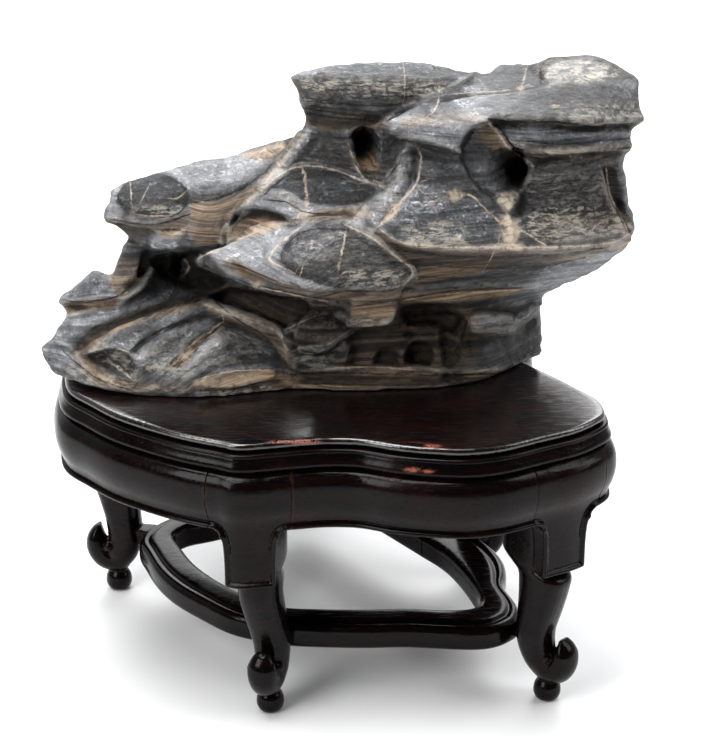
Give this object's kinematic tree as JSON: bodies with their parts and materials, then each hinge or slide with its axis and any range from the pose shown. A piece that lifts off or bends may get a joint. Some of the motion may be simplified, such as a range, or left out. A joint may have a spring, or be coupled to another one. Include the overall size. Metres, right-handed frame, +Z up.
{
  "type": "scholars rock",
  "caption": "Weathered dark limestone scholar's rock with overhanging ledges, hollows and pale veins, resting on a low carved hardwood stand with scroll feet.",
  "frame": {"origin": "on the floor under the middle of the object's outer box", "axes": "+Z up; the front of the stand, where the rock's nose reaches forward, faces -Y; +X is the viewer's right"},
  "size_m": [0.3592, 0.3402, 0.3739],
  "materials": {
    "stone": "satin weathered limestone",
    "hardwood": "dark polished lacquer"
  },
  "bodies": {
    "root": {"top_board": "hardwood", "moulded_tier": "hardwood", "leg_front": "hardwood", "leg_right": "hardwood", "leg_right_rear": "hardwood", "leg_rear": "hardwood", "leg_left": "hardwood", "apron_front_to_right": "hardwood", "apron_right_to_right_rear": "hardwood", "apron_right_rear_to_rear": "hardwood", "apron_rear_to_left": "hardwood", "apron_left_to_front": "hardwood", "stretcher_front_to_right": "hardwood", "stretcher_right_to_right_rear": "hardwood", "stretcher_right_rear_to_rear": "hardwood", "stretcher_rear_to_left": "hardwood", "stretcher_left_to_front": "hardwood", "rock": "stone"}
  },
  "joints": []
}
